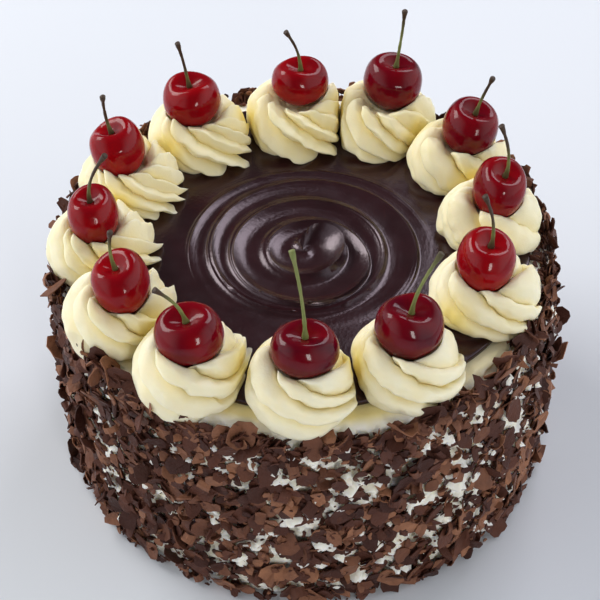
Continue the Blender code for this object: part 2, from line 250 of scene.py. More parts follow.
def mottle(tree, per_metre, low, high, detail=3.0):
    """The mottle group placed in a material; returns the node and the values for its inputs, without setting them."""
    inputs = {"Per Metre": per_metre, "Detail": detail, "Low": low, "High": high}
    return add_node(tree, "ShaderNodeGroup", None, node_tree=MOTTLE, label="mottle"), inputs


def mottled(tree, per_metre, low, high, detail=3.0):
    """Places the mottle group with its own size and range, and returns the socket of its value."""
    node, inputs = mottle(tree, per_metre, low, high, detail)
    for key, value in inputs.items():
        node.inputs[key].default_value = value
    return node.outputs["Value"]


def read_value(tree, name):
    """The socket of a piece's own attribute, such as how much painted shade a point gets."""
    return add_node(tree, "ShaderNodeAttribute", attribute_name=name).outputs["Fac"]


def mix_colours(tree, factor, first, second):
    """A blend of two colours, each a socket or three numbers; 0 gives the first and 1 the second."""
    node = add_node(tree, "ShaderNodeMix", data_type="RGBA", clamp_factor=True)
    for socket, value in ((node.inputs[0], factor), (node.inputs[6], first), (node.inputs[7], second)):
        if isinstance(value, bpy.types.NodeSocket):
            tree.links.new(value, socket)
        else:
            socket.default_value = value if isinstance(value, float) else (*value, 1.0)
    return node.outputs[2]


def new_material(name, **constants):
    """A material with a Principled shader whose named sockets hold the given constants."""
    material = bpy.data.materials.new(name)
    material.use_nodes = True
    shader = material.node_tree.nodes["Principled BSDF"]
    for key, value in constants.items():
        shader.inputs[key.replace("_", " ")].default_value = value
    return material, material.node_tree, shader


def add_bump(tree, shader, height, distance, strength=1.0):
    """Feeds a height into the shader's normal; distance is how tall a height of 1 is, in metres."""
    inputs = {"Height": height, "Distance": distance, "Strength": strength}
    bump = add_node(tree, "ShaderNodeBump", inputs)
    tree.links.new(bump.outputs["Normal"], shader.inputs["Normal"])


# %% [markdown]
# ## Whipped cream
#
# Whipped cream is a pale foam. Light goes a few millimetres into it and comes out softer and yellower,
# so the shader scatters light under the surface. Deep between two ridges the light has bounced from
# cream to cream and turns a warm yellow. That is painted into the colour as a yellow painted shade,
# which the attribute `painted_shade` adds to what the lights give.

# %% Cream material
def make_cream(name, first, second, depth):
    """Pale cream in two mottled tones, with a yellow painted shade where its painted_shade attribute is high, and the
    fine pores of a foam.
    """
    material, tree, shader = new_material(
        name,
        Subsurface_Weight=0.6,
        Subsurface_Radius=(1.0, 0.92, 0.72),
        Subsurface_Scale=depth,
        Specular_IOR_Level=0.35,
    )
    plain = mix_colours(tree, mottled(tree, 90.0, 0.0, 1.0), first, second)
    # Painted shade and painted bounced light: the colour turns yellow where the piece's painted_shade attribute is
    # high.
    colour = mix_colours(tree, read_value(tree, "painted_shade"), plain, (0.890, 0.740, 0.230))
    tree.links.new(colour, shader.inputs["Base Color"])
    tree.links.new(mottled(tree, 400.0, 0.38, 0.52), shader.inputs["Roughness"])
    add_bump(tree, shader, mottled(tree, 1100.0, 0.0, 1.0), 0.00012, 0.5)
    return material


piped_cream = make_cream("piped_cream", (0.912, 0.820, 0.555), (0.930, 0.868, 0.655), 0.003)
spread_cream = make_cream("spread_cream", (0.935, 0.880, 0.760), (0.950, 0.905, 0.815), 0.002)


# %% [markdown]
# ## Shavings, ganache, cherry skin and stem
#
# Shaved bars are dull where they broke and silkier where the blade passed, and no two shavings have the
# same brown, so each one carries its own `tone`. Ganache is the same food with cream stirred in: darker
# and wet, so it reflects the window. A cherry's skin is a clear gloss over deep red, and its stem turns
# from green to brown towards the tip, which the attribute `along` tells.

# %% The four other materials
def make_shavings():
    """Brown shavings, each with its own tone, ribbed by the blade along its own grain."""
    material, tree, shader = new_material("chocolate_shavings", Specular_IOR_Level=0.15)
    ramp = add_node(tree, "ShaderNodeValToRGB", {"Fac": read_value(tree, "tone")}).color_ramp
    ramp.elements[0].color = (0.036, 0.011, 0.007, 1.0)
    ramp.elements[1].color = (0.360, 0.160, 0.085, 1.0)
    middle = ramp.elements.new(0.55)
    middle.color = (0.115, 0.041, 0.025, 1.0)
    toned = tree.nodes["Color Ramp"].outputs["Color"]
    colour = mix_colours(tree, mottled(tree, 260.0, 0.0, 0.45), toned, (0.070, 0.030, 0.024))
    tree.links.new(colour, shader.inputs["Base Color"])
    tree.links.new(mottled(tree, 320.0, 0.38, 0.62), shader.inputs["Roughness"])
    add_bump(tree, shader, mottled(tree, 900.0, 0.0, 1.0, 5.0), 0.00025, 0.6)
    return material


def make_ganache():
    """Dark ganache, glossy with slightly duller patches."""
    material, tree, shader = new_material(
        "ganache", Specular_IOR_Level=0.55, Specular_Tint=(1.0, 0.84, 0.93, 1.0)
    )
    colour = mix_colours(tree, mottled(tree, 60.0, 0.0, 1.0), (0.016, 0.004, 0.005), (0.024, 0.006, 0.008))
    tree.links.new(colour, shader.inputs["Base Color"])
    tree.links.new(mottled(tree, 140.0, 0.18, 0.26), shader.inputs["Roughness"])
    add_bump(tree, shader, mottled(tree, 700.0, 0.0, 1.0), 0.00006, 0.5)
    return material


def make_cherry_skin():
    """Red to maroon skin by each cherry's ripeness, under a clear gloss."""
    material, tree, shader = new_material(
        "cherry_skin",
        Roughness=0.20,
        Specular_IOR_Level=0.05,
        Coat_Weight=0.36,
        Coat_Roughness=0.06,
        Subsurface_Weight=0.10,
        Subsurface_Radius=(1.0, 0.15, 0.1),
        Subsurface_Scale=0.002,
    )
    ripe = mix_colours(tree, read_value(tree, "ripeness"), (0.300, 0.001, 0.003), (0.062, 0.001, 0.007))
    colour = mix_colours(tree, mottled(tree, 110.0, 0.0, 0.5), ripe, (0.150, 0.001, 0.006))
    tree.links.new(colour, shader.inputs["Base Color"])
    return material


def make_stem():
    """A stalk that goes from green at the fruit to brown at its tip."""
    material, tree, shader = new_material("cherry_stem", Roughness=0.5, Specular_IOR_Level=0.4)
    green = mix_colours(tree, mottled(tree, 500.0, 0.0, 1.0), (0.150, 0.190, 0.045), (0.210, 0.220, 0.070))
    colour = mix_colours(tree, read_value(tree, "browning"), green, (0.050, 0.026, 0.014))
    tree.links.new(colour, shader.inputs["Base Color"])
    add_bump(tree, shader, mottled(tree, 1500.0, 0.0, 1.0), 0.0001, 0.6)
    return material


shavings, ganache, cherry_skin, stem_skin = make_shavings(), make_ganache(), make_cherry_skin(), make_stem()
print("materials:", [material.name for material in bpy.data.materials][-5:])

# %% [markdown]
# ## Cherries
#
# A sweet cherry is a ball with a dimple for its stem, narrower at its lower end, with a faint seam down
# one side. It could be a sphere that is pushed about, but a turned profile gives the dimple its true
# shape, and the gloss shows every flaw in that. Each profile is scaled along three axes of its own and
# tilted, and the small lumps are only ever taken away, so the fruit stays inside its oval.

# %% Cherries
CHERRY_CENTRE_HEIGHT = 0.1209
CHERRY_SIDES = 72
CHERRY_ROWS = 64
SHOULDER_SQUARENESS = 2.35
SHOULDER_HEIGHT = 1.14
CHERRY_HEIGHT = 1.00
CHERRY_TAPER = 0.19
DIMPLE_DEPTH = 0.52
DIMPLE_WIDTH = 0.42
DIMPLE_LENGTH = 0.62

# Each cherry: bearing, distance from the axis, size across X, Y and Z, lean towards +X and +Y in
# degrees, and ripeness from 0, bright red, to 1, maroon
CHERRIES = [
    (126.9, 0.0797, (0.0242, 0.0244, 0.0236), (-6, -2), 0.10),
    (92.3, 0.0765, (0.0245, 0.0214, 0.0212), (2, -3), 0.15),
    (64.8, 0.0845, (0.0250, 0.0250, 0.0248), (8, 2), 0.70),
    (34.6, 0.0802, (0.0228, 0.0250, 0.0250), (12, -5), 0.65),
    (5.8, 0.0748, (0.0207, 0.0250, 0.0252), (12, -12), 0.45),
    (332.8, 0.0740, (0.0220, 0.0254, 0.0256), (9, -5), 0.10),
    (297.6, 0.0774, (0.0252, 0.0244, 0.0244), (3, -2), 0.80),
    (269.0, 0.0796, (0.0248, 0.0220, 0.0212), (1, -4), 0.80),
    (239.8, 0.0838, (0.0252, 0.0240, 0.0238), (-7, -4), 0.60),
    (213.8, 0.0822, (0.0217, 0.0252, 0.0254), (-12, -4), 0.20),
    (185.9, 0.0824, (0.0199, 0.0240, 0.0244), (-5, -4), 0.25),
    (157.0, 0.0824, (0.0219, 0.0250, 0.0252), (-16, 4), 0.10),
]


def cherry_place(number):
    """A cherry's centre, its half sizes, and its axes as the columns of a matrix."""
    bearing, distance, sizes, (lean_x, lean_y), _ = CHERRIES[number]
    centre = np.array([*polar(bearing, distance), CHERRY_CENTRE_HEIGHT])
    up = np.array([np.sin(np.radians(lean_x)), np.sin(np.radians(lean_y)), 0.0])
    up[2] = np.sqrt(1 - up @ up)
    right = np.array([1.0, 0.0, 0.0]) - up[0] * up
    right /= np.linalg.norm(right)
    axes = np.stack([right, np.cross(up, right), up], -1)
    return centre, np.array(sizes) / 2, axes


def cherry_outline(from_top, dimple_width):
    """Radius and height as shares of the half sizes, at angles measured from the top: a squarish
    superellipse above the middle, a circle that narrows below it, and a dimple in the top."""
    above = from_top < np.pi / 2
    power = 2 / np.where(above, SHOULDER_SQUARENESS, 2.0)
    radius = np.sin(from_top) ** power
    height = np.where(above, SHOULDER_HEIGHT, -CHERRY_HEIGHT) * np.abs(np.cos(from_top)) ** power
    taper = 1 - CHERRY_TAPER * np.maximum(-np.cos(from_top), 0) ** 1.5
    dimple = DIMPLE_DEPTH * np.exp(-((radius / dimple_width) ** 2)) * above
    return radius * taper, height - dimple


def build_cherry(number):
    """One cherry: its outline turned, then dented by two broad lumps, a seam and a notched rim."""
    centre, half_sizes, axes = cherry_place(number)
    uneven = np.random.default_rng(300 + number)
    angle = np.linspace(0, 2 * np.pi, CHERRY_SIDES, endpoint=False)[None]
    turned = angle - uneven.uniform(-0.35, 0.35)
    dimple_width = 1 / np.hypot(np.cos(turned) / DIMPLE_LENGTH, np.sin(turned) / DIMPLE_WIDTH)
    radius, height = cherry_outline(np.linspace(np.pi - 0.02, 0.004, CHERRY_ROWS)[:, None], dimple_width)
    lumps = sum((1 + np.cos(k * angle + uneven.uniform(0, 2 * np.pi))) / 2 for k in (2, 3))
    seam_turn = np.radians(uneven.uniform(235, 305))
    off_seam = (angle - seam_turn + np.pi) % (2 * np.pi) - np.pi
    seam = np.exp(-((off_seam / 0.20) ** 2)) * radius
    shrink = 1 - 0.015 * lumps - 0.018 * seam
    notch = 0.08 * (1 + np.cos(2 * (angle - seam_turn))) * smooth_step(height, 0.3, 0.8) * radius
    rings = circle(radius * shrink, height - notch, angle) * half_sizes @ axes.T + centre
    ripeness = CHERRIES[number][4] + 0.10 * waves(rings, 0.012, 320 + number)
    name = f"cherry_{number + 1:02d}"
    piece = make_rings(f"{name}_fruit", rings, cherry_skin, {"ripeness": ripeness})
    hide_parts(name)
    return piece


cherries = [build_cherry(number) for number in range(len(CHERRIES))]
print("cherries:", len(cherries), "with", len(cherries[0].data.polygons), "triangles each")

# %% [markdown]
# ## Stems
#
# A stem is a thin stalk that leaves the dimple upright and then bends. It is a round profile carried
# along a quadratic Bezier curve, wide where it meets the fruit and wide again at the knob where it
# broke off the tree. Its browning rises along it.

# %% Stems
STEM_RADIUS = 0.00065
STEM_ROOT_HEIGHT = 0.70
STEM_LIFT = 0.0016
STEM_STRAIGHT = 0.35
STEM_THICKNESS = [(0.0, 2.0), (0.08, 1.5), (0.2, 1.1), (0.5, 0.9), (0.86, 1.0), (0.95, 1.6), (1.0, 1.8)]
STEM_SIDES = 14
STEM_ROWS = 60

# Each stem: its tip measured from its root, the share of its length where it turns brown, and how
# brown its root is
STEMS = [
    ((-0.0030, -0.0040, 0.0220), 0.35, 0.8),
    ((-0.0060, -0.0040, 0.0195), 0.45, 0.3),
    ((0.0020, -0.0020, 0.0265), 0.75, 0.3),
    ((0.0045, -0.0040, 0.0185), 0.50, 0.7),
    ((-0.0045, -0.0030, 0.0250), 0.55, 0.8),
    ((-0.0050, -0.0040, 0.0255), 0.45, 0.9),
    ((0.0090, 0.0020, 0.0245), 0.90, 0.2),
    ((-0.0045, 0.0060, 0.0335), 1.20, 0.1),
    ((-0.0090, -0.0050, 0.0180), 0.75, 0.3),
    ((0.0010, -0.0050, 0.0200), 0.70, 0.5),
    ((0.0085, -0.0040, 0.0235), 0.40, 0.9),
    ((-0.0005, -0.0050, 0.0190), 0.30, 0.7),
]


def build_stem(number):
    """One stem: a round profile carried along a quadratic curve from its root to its tip."""
    centre, half_sizes, axes = cherry_place(number)
    reach, turns_brown, root_brown = np.array(STEMS[number][0]), *STEMS[number][1:]
    up = axes[:, 2]
    foot = centre + up * half_sizes[2] * (SHOULDER_HEIGHT - DIMPLE_DEPTH)
    root = centre + up * (half_sizes[2] * STEM_ROOT_HEIGHT + STEM_LIFT)
    bend = root + up * np.linalg.norm(reach) * STEM_STRAIGHT
    tip = root + reach
    t = np.linspace(0, 1, STEM_ROWS)[:, None]
    path = (1 - t) ** 2 * foot + 2 * t * (1 - t) * bend + t**2 * tip
    along = 2 * (1 - t) * (bend - foot) + 2 * t * (tip - bend)
    along /= np.linalg.norm(along, axis=1, keepdims=True)
    side = np.cross([0.0, 1.0, 0.0], along)
    side /= np.linalg.norm(side, axis=1, keepdims=True)
    other_side = np.cross(along, side)
    thickness = np.interp(t[:, 0], *zip(*STEM_THICKNESS))[:, None]
    angle = np.linspace(0, 2 * np.pi, STEM_SIDES, endpoint=False)[None]
    ribs = 1 + 0.06 * np.cos(3 * angle + 9 * t) + 0.05 * waves(path, 0.004, 400 + number)[:, None]
    radius = (STEM_RADIUS * thickness * ribs)[..., None]
    round_it = np.cos(angle)[..., None] * side[:, None] + np.sin(angle)[..., None] * other_side[:, None]
    browning = smooth_step(t, turns_brown - 0.25, turns_brown + 0.2)
    browning = np.maximum(browning, root_brown * (1 - smooth_step(t, 0.05, 0.40))) + 0 * angle
    name = f"stem_{number + 1:02d}"
    rings = path[:, None] + radius * round_it
    piece = make_rings(f"{name}_stalk", rings, stem_skin, {"browning": browning})
    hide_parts(name)
    return piece


stems = [build_stem(number) for number in range(len(STEMS))]
print("stems:", len(stems), "with", len(stems[0].data.polygons), "triangles each")

# %% [markdown]
# ## Rosettes
#
# Each rosette is one squeeze of cream from a star nozzle that moved in a small circle. The star leaves
# ridges, and the movement winds them round the cherry: far on the front left, hardly at all at the
# back right, where they end as pointed teeth. Sculpting would take days, so the shape is worked out.
# A point lies between the outline along a groove and the outline along a ridge, by how full the ridge
# is there, and then the whole section is turned by an angle that grows from the rim to the base.

# %% The rosettes' tables
# Each rosette: bearing, distance from the axis, size factor, number of ridges, twist in degrees, how
# much more it is wound on one side than on the other, the bearing where it is wound furthest, the
# bearing of its finger, the blunt ridge that stands out, and the bearing and strength of its teeth
ROSETTES = [
    (126.0, 0.0760, 1.04, 11, 84, 0.35, 215, 215, 320, 1.1),
    (93.6, 0.0725, 1.125, 10, 80, 0.35, 215, 215, 300, 0.9),
    (65.4, 0.0780, 1.105, 10, 84, 0.45, 180, 225, 300, 0.6),
    (35.5, 0.0765, 1.00, 7, 112, 0.35, 150, 205, 300, 0.1),
    (5.5, 0.0725, 0.99, 7, 108, 0.4, 145, 192, 350, 0.1),
    (332.5, 0.0755, 1.01, 7, 125, 0.35, 190, 200, 20, 0.1),
    (296.5, 0.0790, 0.98, 6, 150, 0.30, 205, 186, 20, 0.3),
    (268.0, 0.0800, 0.99, 6, 165, 0.30, 210, 160, 20, 0.3),
    (239.5, 0.0830, 1.02, 6, 145, 0.30, 215, 215, 25, 0.9),
    (212.5, 0.0825, 1.02, 8, 104, 0.35, 215, 218, 30, 1.1),
    (185.5, 0.0810, 1.00, 11, 84, 0.35, 215, 225, 0, 1.1),
    (156.5, 0.0785, 1.00, 12, 80, 0.35, 215, 225, 345, 1.1),
]
# Outlines from the base edge over the outside to the middle of the dish under the cherry, as (radius,
# height): along a rounded ridge, along a pointed tooth, and along the groove between two ridges
RIDGE_OUTLINE = [
    (0.0190, 0.0),
    (0.0211, 0.0022),
    (0.0217, 0.0054),
    (0.0203, 0.0100),
    (0.0172, 0.0144),
    (0.0132, 0.0174),
    (0.0092, 0.0162),
    (0.0050, 0.0112),
    (0.0, 0.0092),
]
TOOTH_OUTLINE = [
    (0.0220, 0.0),
    (0.0240, 0.0010),
    (0.0229, 0.0040),
    (0.0203, 0.0090),
    (0.0170, 0.0140),
    (0.0130, 0.0182),
    (0.0090, 0.0162),
    (0.0050, 0.0112),
    (0.0, 0.0092),
]
GROOVE_OUTLINE = [
    (0.0172, 0.0),
    (0.0188, 0.0020),
    (0.0191, 0.0046),
    (0.0174, 0.0084),
    (0.0141, 0.0118),
    (0.0106, 0.0138),
    (0.0078, 0.0134),
    (0.0046, 0.0106),
    (0.0, 0.0092),
]
PEAK_BEARING = 30.0
GROOVE_DEPTH = 1.2
TOOTH_FLATNESS = 1.15
FINGER_HEIGHT = 0.25
TWIST_END = 0.78
RIDGE_LEAN = 0.30
RIDGE_UNEVENNESS = 0.28
# How much yellow painted shade the rosettes at the far side get, and how far the painted shade spreads round the
# place where two rosettes meet
FAR_PAINTED_SHADE = 0.20
MEETING_REACH = 0.0090
SQUEEZE_START = 0.80
ROSETTE_COLUMNS = 260
OUTLINE_ROWS = 100


# %% Rosette functions
def ridge_fullness(phase, peak, tooth, flatness):
    """How full a ridge is from one groove (0) to the next (1), with its crest at the phase `peak`:
    1 - |distance from the crest|^p, where p is the flatness or, on a tooth, gives a sharp tent."""
    from_crest = np.where(phase < peak, (peak - phase) / peak, (phase - peak) / (1 - peak))
    return 1 - from_crest ** (flatness + (TOOTH_FLATNESS - flatness) * np.minimum(tooth, 1))


def squeeze(points, centre, neighbour):
    """Flattens a rosette where it would pass the plane halfway to its neighbour, and says how much."""
    towards = np.array([*neighbour, 0.0]) - [*centre, 0.0]
    room = np.linalg.norm(towards) / 2
    towards /= np.linalg.norm(towards)
    reach = (points - [*centre, 0.0]) @ towards
    start = SQUEEZE_START * room
    pressed = start + (room - start) * (1 - np.exp(-np.maximum(reach - start, 0) / (room - start)))
    moved = np.where(reach > start, pressed, reach)
    return points + (moved - reach)[..., None] * towards, smooth_step(moved, start, room)


def push_out(points, cherry, clearance):
    """Moves points that are inside a cherry's full oval, grown by the clearance, out onto it."""
    centre, half_sizes, axes = cherry
    local = (points - centre) @ axes / (half_sizes + clearance)
    inside = np.clip(np.linalg.norm(local, axis=-1, keepdims=True), 1e-3, 1.0)
    return centre + (local / inside * (half_sizes + clearance)) @ axes.T


def top_surface(points):
    """Height of what the rosettes stand on: the ganache, then the cream outside it, then its shoulder."""
    from_axis = np.hypot(points[..., 0], points[..., 1])
    ganache_edge = smooth_step(from_axis, 0.0865, 0.0890)
    shoulder = np.maximum(from_axis - (CAKE_RADIUS - 0.006), 0.0)
    cream_top = CAKE_TOP - 0.5 * shoulder**2 / 0.006
    return GANACHE_TOP + ganache_edge * (np.maximum(cream_top, CAKE_TOP - 0.0035) - GANACHE_TOP)


def uneven_ridges(number):
    """For each column of a rosette: its turn at the top, its phase in its ridge, the height of that
    ridge, and how far the two grooves beside it are filled, blended from one to the other."""
    ridges, broadest = ROSETTES[number][3], ROSETTES[number][7]
    uneven = np.random.default_rng(200 + number)
    widths = 1 + RIDGE_UNEVENNESS * uneven.uniform(-1, 1, ridges)
    widths[0] = 1.2 if ridges < 8 else 0.85
    widths /= widths.sum()
    heights = uneven.uniform(0.78, 1.0, ridges)
    heights[0] = 1.10
    fills = uneven.uniform(0.0, 0.45, ridges)
    fills[:2] = 0.0
    samples = ROSETTE_COLUMNS // ridges
    even = np.arange(samples) / samples
    phase = even - 0.55 * np.sin(4 * np.pi * even) / (4 * np.pi)
    starts = np.concatenate([[0.0], np.cumsum(widths)[:-1]])
    turn = 2 * np.pi * (starts[:, None] + phase * widths[:, None] - widths[0] / 2) + np.radians(broadest)
    blend = smooth_step(phase, 0.0, 1.0)
    filled = fills[:, None] + blend * (np.roll(fills, -1) - fills)[:, None]
    return turn.ravel(), np.tile(phase, ridges), np.repeat(heights, samples), filled.ravel()


def rosette_rings(number):
    """Rings of a rosette in place, and the yellow painted shade of each of its points: deep in the grooves, where a
    neighbour presses on it or meets it, and all over the rosettes at the far side.
    """
    size, ridges, twist, lopside, twist_bearing = ROSETTES[number][2:7]
    tooth_bearing, tooth_strength = ROSETTES[number][8:]
    turn, phase, height, filled = uneven_ridges(number)
    down = np.linspace(0, 1, OUTLINE_ROWS)
    middle = turn + np.radians(twist) / 2 - np.radians(twist_bearing)
    wound = np.radians(twist) * (1 + lopside * np.cos(middle))
    share = np.clip(1 - down / TWIST_END, 0, 1)[:, None]
    angle = turn + share * wound
    tooth = tooth_strength * smooth_step(np.cos(angle - np.radians(tooth_bearing)), 0.1, 0.9)
    angle = angle + 0.7 * tooth * (np.sin(np.pi / 2 * share) - share) * wound
    side = np.cos(angle - np.radians(PEAK_BEARING))
    crest = ridge_fullness(phase, 0.53 + 0.27 * side + 0.04 * tooth, tooth, 2.7 if ridges < 8 else 2.1)
    finger = 1 + FINGER_HEIGHT * (height > 1.05) * smooth_step(down, 0.30, 0.55)[:, None]
    fullness = crest * height * finger + (1 - crest) * filled
    angle = angle + RIDGE_LEAN * side * fullness * 2 * np.pi / ridges * np.clip(share * 3, 0, 1)

    outlines = [smooth_curve(points, down)[:, None] for points in (RIDGE_OUTLINE, TOOTH_OUTLINE, GROOVE_OUTLINE)]
    ridge = outlines[0] + tooth[..., None] * (outlines[1] - outlines[0])
    depth = GROOVE_DEPTH * np.sqrt(9 / ridges) * (1 + 0.35 * tooth * share)[..., None]
    outline = ridge - depth * (1 - fullness[..., None]) * (ridge - outlines[2])
    # Painted shade: yellow deep in the grooves on the slopes, and a yellow cast over the whole of the rosettes at the
    # far side.
    on_slope = smooth_step(down, 0.02, 0.2)[:, None] * (1 - smooth_step(down, 0.55, 0.75))[:, None]
    far_side = 0.5 + 0.5 * np.sin(np.radians(ROSETTES[number][0]))
    painted_shade = 0.5 * (1 - fullness) ** 2 * on_slope + FAR_PAINTED_SHADE * far_side

    centres = [polar(bearing, distance) for bearing, distance, *_ in ROSETTES]
    rings = circle(outline[..., 0] * size, outline[..., 1], angle) + [*centres[number], ROSETTE_BOTTOM]
    for neighbour in (centres[number - 1], centres[(number + 1) % len(centres)]):
        rings, pressed = squeeze(rings, centres[number], neighbour)
        meeting = np.array([*(np.add(centres[number], neighbour) / 2), GANACHE_TOP + 0.008])
        from_meeting = np.linalg.norm(rings - meeting, axis=-1) / MEETING_REACH
        # Painted shade: yellow where a neighbour presses on the rosette, and round the low place where the two meet.
        painted_shade = np.maximum(painted_shade, pressed * (1 - 0.6 * fullness) * on_slope)
        painted_shade = np.maximum(painted_shade, np.exp(-(from_meeting**2)))
    rings += 0.00022 * waves(rings, 0.007, 240 + number)[..., None] * [1, 1, 0.6]
    rings = push_out(rings, cherry_place(number), 0.0001)
    sunk = (ROSETTE_BOTTOM + 0.0004 - top_surface(rings)) * (1 - smooth_step(down, 0.0, 0.32))[:, None]
    rings[..., 2] -= sunk
    return rings, painted_shade


def build_rosette(number):
    """One piped rosette from its rings."""
    rings, painted_shade = rosette_rings(number)
    name = f"rosette_{number + 1:02d}"
    piece = make_rings(f"{name}_piped", rings, piped_cream, {"painted_shade": painted_shade})
    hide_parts(name)
    return piece


rosettes = [build_rosette(number) for number in range(len(ROSETTES))]
print("rosettes:", len(rosettes), "with", len(rosettes[0].data.polygons), "triangles in the first")

# %% [markdown]
# ## Ganache
#
# The baker poured a disc of ganache and drew a spoon through it in one long spiral, which ends in a
# curled tongue in the middle. The surface is a ribbon that winds outwards. Its inner edge is the
# crest the spoon left, and its outer edge is the same crest one turn later, so the ribbon meets itself
# all the way round. Grid lines then follow the crests and keep them crisp, which a plain grid wouldn't.

# %% Ganache
SWIRL_CENTRE = (0.0, -0.007)
SWIRL_REACH = 0.054
SWIRL_FADE = (0.043, 0.050)
FULL_TROUGH_WIDTH = 0.004
GANACHE_WAVINESS = 0.0012
GANACHE_ROUNDING = 0.0008
SWIRL_SIDES = 220
SWIRL_COLUMNS = 30
# The crest: turns clockwise from +X seen from above, distance from the swirl's centre, height
SWIRL_CREST = [
    (-0.50, 0.0000, 0.0006),
    (-0.30, 0.0065, 0.0036),
    (-0.20, 0.0125, 0.0056),
    (-0.08, 0.0148, 0.0058),
    (0.12, 0.0138, 0.0036),
    (0.25, 0.0140, 0.0020),
    (0.50, 0.0154, 0.0016),
    (0.75, 0.0175, 0.0016),
    (0.95, 0.0205, 0.0018),
    (1.06, 0.0255, 0.0020),
    (1.20, 0.0292, 0.0017),
    (1.50, 0.0290, 0.0016),
    (1.75, 0.0303, 0.0014),
    (2.00, 0.0298, 0.0015),
    (2.25, 0.0335, 0.0010),
    (2.50, 0.0375, 0.0012),
    (2.75, 0.0430, 0.0010),
    (3.00, 0.0428, 0.0012),
    (3.25, 0.0445, 0.0010),
    (3.50, 0.0466, 0.0010),
    (3.75, 0.0492, 0.0006),
    (4.00, 0.0506, 0.0005),
    (4.30, SWIRL_REACH, 0.0),
    (5.50, SWIRL_REACH, 0.0),
]
SWIRL_TURNS = 6


def swirl_crest(turns):
    """Distance and height of the crest: straight between the known turns, then averaged over a tenth
    of a turn, which rounds the corners."""
    known = np.array(SWIRL_CREST)
    window = np.linspace(-0.05, 0.05, 9)
    spread = np.asarray(turns)[..., None] + window
    return tuple(np.interp(spread, known[:, 0], known[:, k]).mean(-1) for k in (1, 2))


def build_ganache():
    """The disc: troughs between the turns of the crest, then a flat border to a wavy edge."""
    turns = SWIRL_CREST[0][0] - 1 + np.arange(SWIRL_TURNS * SWIRL_SIDES + 1) / SWIRL_SIDES
    across = np.linspace(0, 1, SWIRL_COLUMNS + 1)
    across = across - 0.75 * np.sin(2 * np.pi * across) / (2 * np.pi)
    inner_distance, inner_height = (values[:, None] for values in swirl_crest(turns))
    outer_distance, outer_height = (values[:, None] for values in swirl_crest(turns + 1))
    deepest = 0.38 - 0.20 * np.cos(2 * np.pi * turns[:, None])
    fall = np.clip((deepest - across) / deepest, 0, 1) ** 2 * inner_height
    rise = np.clip((across - deepest) / (1 - deepest), 0, 1) ** 2 * outer_height
    width = outer_distance - inner_distance
    distance = inner_distance + across * width
    level = inner_height + across * (outer_height - inner_height)
    relief = level + np.clip(width / FULL_TROUGH_WIDTH, 0, 1) * (fall + rise - level)
    band = circle(distance, GANACHE_TOP, -2 * np.pi * turns[:, None] + 0 * distance)
    band += [*SWIRL_CENTRE, 0.0]
    at_left = (0.5 - 0.5 * np.cos(2 * np.pi * turns[:, None])) * smooth_step(inner_distance, 0.012, 0.018)
    relief += 0.00032 * np.exp(-(((across - 0.17) / 0.05) ** 2)) * at_left
    at_front = smooth_step(-np.cos(2 * np.pi * (turns[:, None] + 0.22)), 0.2, 0.9)
    near_crest = smooth_step(np.abs(across - 0.5), 0.36, 0.46)
    torn = smooth_step(waves(band, 0.0065, 71), 0.2, 1.4) * smooth_step(inner_distance, 0.018, 0.024)
    relief += 0.0006 * torn * near_crest * at_front
    drawn = np.stack([distance, 0.002 * turns[:, None] + 0 * distance, 0 * distance], -1)
    relief += 0.00002 * waves(drawn, 0.0011, 72)
    fade = 1 - smooth_step(np.hypot(band[..., 0], band[..., 1]), *SWIRL_FADE)
    band[..., 2] += relief * fade

    angle = 2 * np.pi * np.arange(SWIRL_SIDES + 1) / SWIRL_SIDES
    wave = 0.6 * np.sin(3 * angle + 1.0) + 0.4 * np.sin(7 * angle + 0.4)
    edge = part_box("ganache_top")[1].x + GANACHE_WAVINESS * (wave - 0.75)
    side = [circle(edge * share, GANACHE_BOTTOM, angle) for share in (0.0, 0.5, 1.0)]
    side += [circle(edge, GANACHE_BOTTOM + share * (GANACHE_TOP - GANACHE_ROUNDING - GANACHE_BOTTOM), angle) for share in (0.5, 1.0)]
    for corner in np.radians([30, 60, 90]):
        inset, drop = GANACHE_ROUNDING * (1 - np.cos(corner)), GANACHE_ROUNDING * (1 - np.sin(corner))
        side.append(circle(edge - inset, GANACHE_TOP - drop, angle))
    swirl_end = circle(SWIRL_REACH, GANACHE_TOP, angle) + [*SWIRL_CENTRE, 0.0]
    border = np.array(side + [side[-1] + share * (swirl_end - side[-1]) for share in np.linspace(0.08, 1.0, 14)])

    def grid_faces(rows, columns):
        corner = np.arange(rows * columns).reshape(rows, columns)
        a, b = corner[:-1, :-1].ravel(), corner[:-1, 1:].ravel()
        c, d = corner[1:, 1:].ravel(), corner[1:, :-1].ravel()
        return np.vstack([np.stack([a, b, c], -1), np.stack([a, c, d], -1)])

    band_faces = grid_faces(*band.shape[:2])[:, ::-1]
    border_faces = grid_faces(*border.shape[:2]) + band.shape[0] * band.shape[1]
    points = np.vstack([band.reshape(-1, 3), border.reshape(-1, 3)])
    piece = make_piece("ganache_disc", points, np.vstack([band_faces, border_faces]), ganache)
    import bmesh

    welder = bmesh.new()
    welder.from_mesh(piece.data)
    bmesh.ops.remove_doubles(welder, verts=welder.verts, dist=2e-6)
    welder.to_mesh(piece.data)
    welder.free()
    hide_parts("ganache_top")
    return piece


ganache_disc = build_ganache()
print("ganache:", len(ganache_disc.data.polygons), "triangles")

# %% [markdown]
# ## The cream coat
#
# Under the shavings the whole cake is spread with cream, with the ridges and dabs that a palette knife
# leaves. It is a turned profile with more rings than it seems to need, so that broad noise can move its
# surface in and out by a millimetre or so. Between the shavings it then comes forward in places.

# %% The cream coat
COAT_COLUMNS = 480
SHOULDER = 0.0055
FRONT_BEARING = 268.0
LEAN_BEARING = 352.0
LEAN_DEPTH = 0.0042


